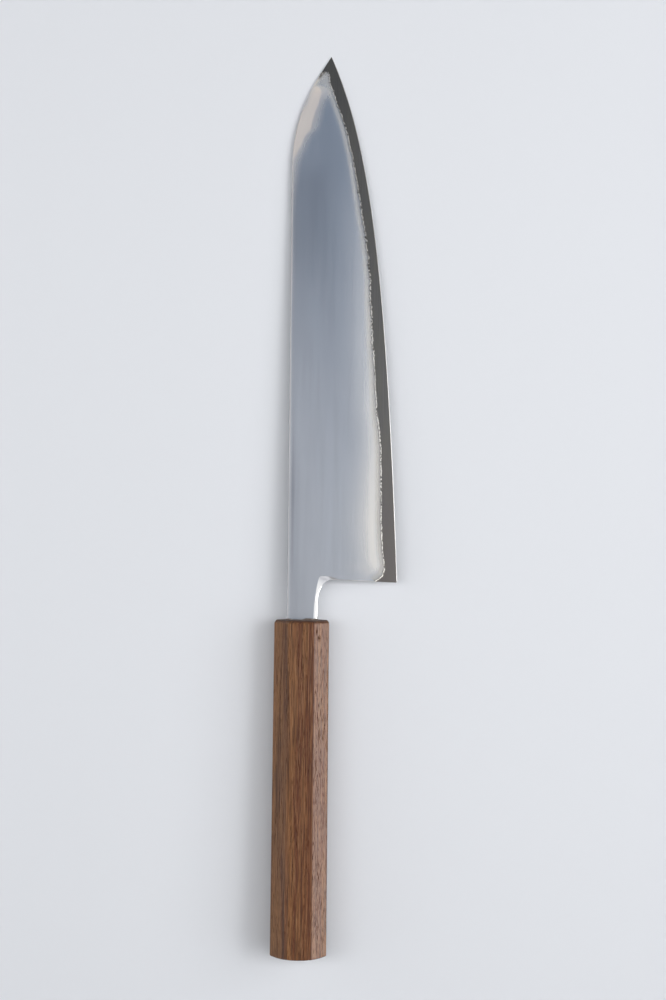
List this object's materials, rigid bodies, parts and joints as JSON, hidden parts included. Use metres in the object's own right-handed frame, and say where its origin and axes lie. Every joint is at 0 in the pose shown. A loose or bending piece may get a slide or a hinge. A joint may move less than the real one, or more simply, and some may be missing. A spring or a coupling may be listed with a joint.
{
  "type": "kitchen knife",
  "caption": "Chef's knife with a long pointed three-layer steel blade, a straight heel and choil, and a plain eight-sided wooden handle.",
  "frame": {"origin": "on the surface the knife lies on, under the middle of the whole knife's length and height of blade", "axes": "+X runs along the handle and blade towards the tip, the cutting edge is at -Y and the spine at +Y, and +Z is square to the blade's side, up from the surface the knife lies on"},
  "size_m": [0.411, 0.056, 0.02],
  "materials": {
    "core_steel": "matte dark grey carbon steel with a thin bright bevel at the edge",
    "cladding_steel": "satin stainless steel, polished along the spine, neck and choil",
    "walnut": "open-pored walnut, oiled",
    "bedding_resin": "cast epoxy resin",
    "sealant": "grey-brown sealant"
  },
  "bodies": {
    "root": {"core_steel": "core_steel", "cladding_upper": "cladding_steel", "cladding_lower": "cladding_steel", "handle_body": "walnut", "tang_bedding": "bedding_resin", "mouth_seal": "sealant"}
  },
  "joints": []
}
